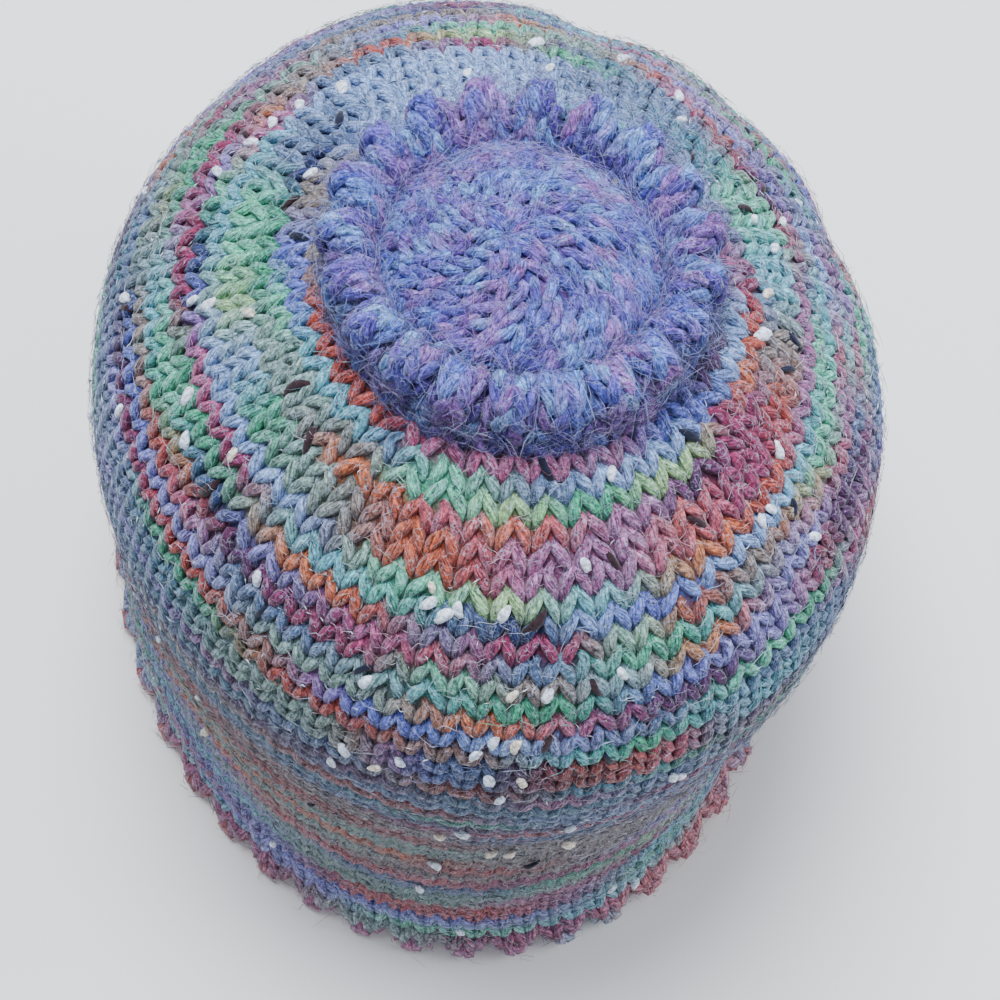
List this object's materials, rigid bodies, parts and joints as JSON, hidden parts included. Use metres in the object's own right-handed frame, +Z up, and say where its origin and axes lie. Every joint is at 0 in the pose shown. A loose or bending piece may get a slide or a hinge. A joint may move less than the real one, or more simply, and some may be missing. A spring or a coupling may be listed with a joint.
{
  "type": "beanie",
  "caption": "Hand-knitted slouch beanie with a folded picot hem and a violet crown: a domed, swirling disc inside a raised scalloped frill.",
  "frame": {"origin": "middle of the bounding box's base, on the surface that the hem stands on", "axes": "+Z up through the crown, +Y from the forehead edge towards the far side of the oval hem, +X to the right"},
  "size_m": [0.1715, 0.2026, 0.1755],
  "materials": {
    "striped_tweed_knit": "matte, softly fuzzy stockinette in striped tweed yarn",
    "striped_tweed_hem": "matte, softly fuzzy stockinette in striped tweed yarn",
    "violet_frill_knit": "matte, hairy mohair-like yarn",
    "violet_disc_knit": "matte, hairy mohair-like yarn"
  },
  "bodies": {
    "root": {"body": "striped_tweed_knit", "picot_hem": "striped_tweed_hem", "crown_frill": "violet_frill_knit", "crown_disc": "violet_disc_knit"}
  },
  "joints": []
}
